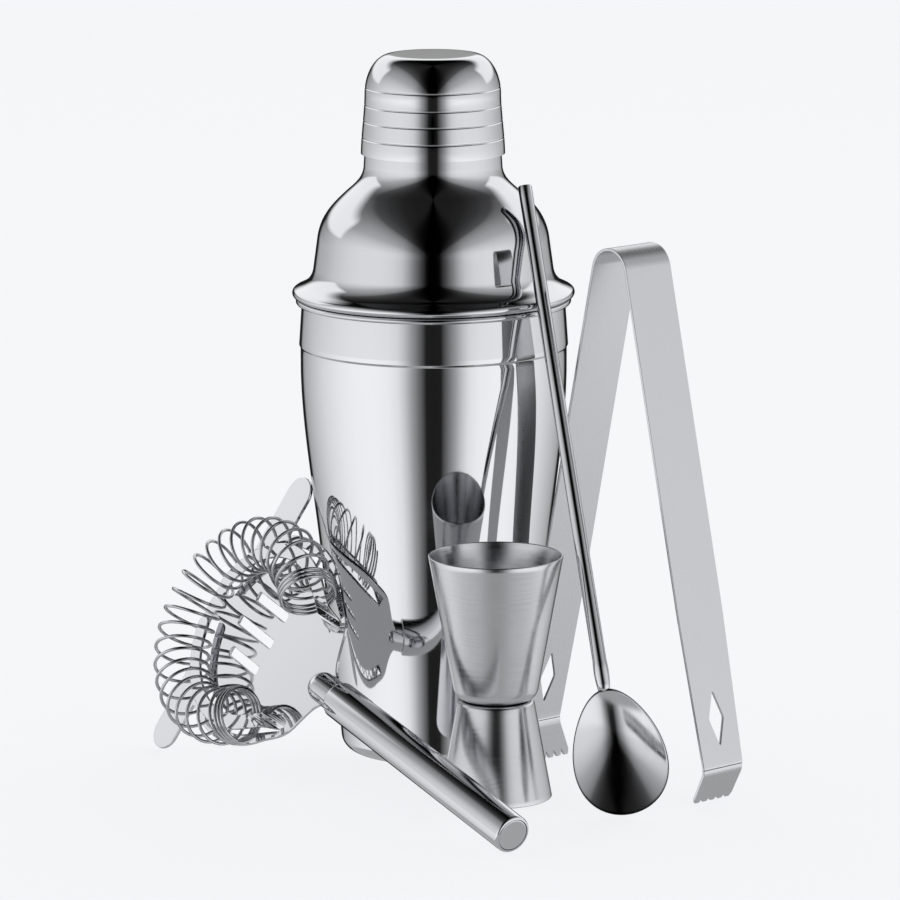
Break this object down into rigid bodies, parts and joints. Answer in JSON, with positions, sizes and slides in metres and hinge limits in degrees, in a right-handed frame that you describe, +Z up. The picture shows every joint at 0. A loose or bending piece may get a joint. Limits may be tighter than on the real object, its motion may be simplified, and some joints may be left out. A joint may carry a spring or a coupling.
{
  "type": "cocktail shaker set",
  "caption": "Polished steel shaker with sieve top and cap, standing with a spring strainer, double jigger, bar spoon and sprung ice tongs.",
  "frame": {"origin": "centre of the shaker's flat base, on the surface that the set stands on", "axes": "+Z up along the shaker's axis, -Y towards the front, where the jigger and the spoon's bowl stand, +X towards the tongs"},
  "size_m": [0.1922, 0.1888, 0.2308],
  "materials": {
    "polished_stainless": "mirror-polished stainless steel",
    "brushed_stainless": "satin stainless steel with a fine brushed grain"
  },
  "bodies": {
    "shaker": {"tumbler": "polished_stainless"},
    "top": {"strainer_top": "polished_stainless"},
    "cap": {"cap": "polished_stainless"},
    "strainer": {"hawthorne_plate": "polished_stainless", "hawthorne_rod": "polished_stainless", "hawthorne_handle": "polished_stainless", "hawthorne_plug": "polished_stainless"},
    "coil": {"hawthorne_spring": "polished_stainless"},
    "jigger": {"jigger_large_cup": "brushed_stainless", "jigger_small_cup": "brushed_stainless"},
    "spoon": {"spoon_rod": "polished_stainless", "spoon_bowl": "polished_stainless"},
    "tongs": {"tongs_bow": "brushed_stainless"},
    "right_arm": {"tongs_right_arm": "brushed_stainless"},
    "left_arm": {"tongs_left_arm": "brushed_stainless"}
  },
  "joints": [
    {"name": "top_lift", "type": "slide", "parent": "shaker", "child": "top", "axis": [0, 0, 1], "range_m": [0, 0.1]},
    {"name": "cap_lift", "type": "slide", "parent": "top", "child": "cap", "axis": [0, 0, 1], "range_m": [0, 0.06]},
    {"name": "strainer_draw", "type": "slide", "parent": "shaker", "child": "strainer", "axis": [-1, 0, 0], "range_m": [0, 0.16]},
    {"name": "coil_give", "type": "slide", "parent": "strainer", "child": "coil", "axis": [0.51, -0.8329, -0.215], "range_m": [0, 0.002], "stiffness_N_per_m": 600},
    {"name": "jigger_lift", "type": "slide", "parent": "shaker", "child": "jigger", "axis": [0, 0, 1], "range_m": [0, 0.24]},
    {"name": "spoon_lift", "type": "slide", "parent": "top", "child": "spoon", "axis": [0, 0, 1], "range_m": [0, 0.24]},
    {"name": "tongs_draw", "type": "slide", "parent": "shaker", "child": "tongs", "axis": [1, 0, 0], "range_m": [0, 0.16]},
    {"name": "right_arm_flex", "type": "hinge", "parent": "tongs", "child": "right_arm", "pos_m": [0.06814, -0.05013, 0.16828], "axis": [0.7455, 0.6665, 0], "range_deg": [0, 12], "stiffness_Nm_per_rad": 4},
    {"name": "left_arm_flex", "type": "hinge", "parent": "tongs", "child": "left_arm", "pos_m": [0.05826, -0.03907, 0.16828], "axis": [-0.7455, -0.6665, 0], "range_deg": [0, 12], "stiffness_Nm_per_rad": 4}
  ],
  "couplings": [
    {"joint": "left_arm_flex", "follows": "right_arm_flex", "ratio": 1}
  ]
}
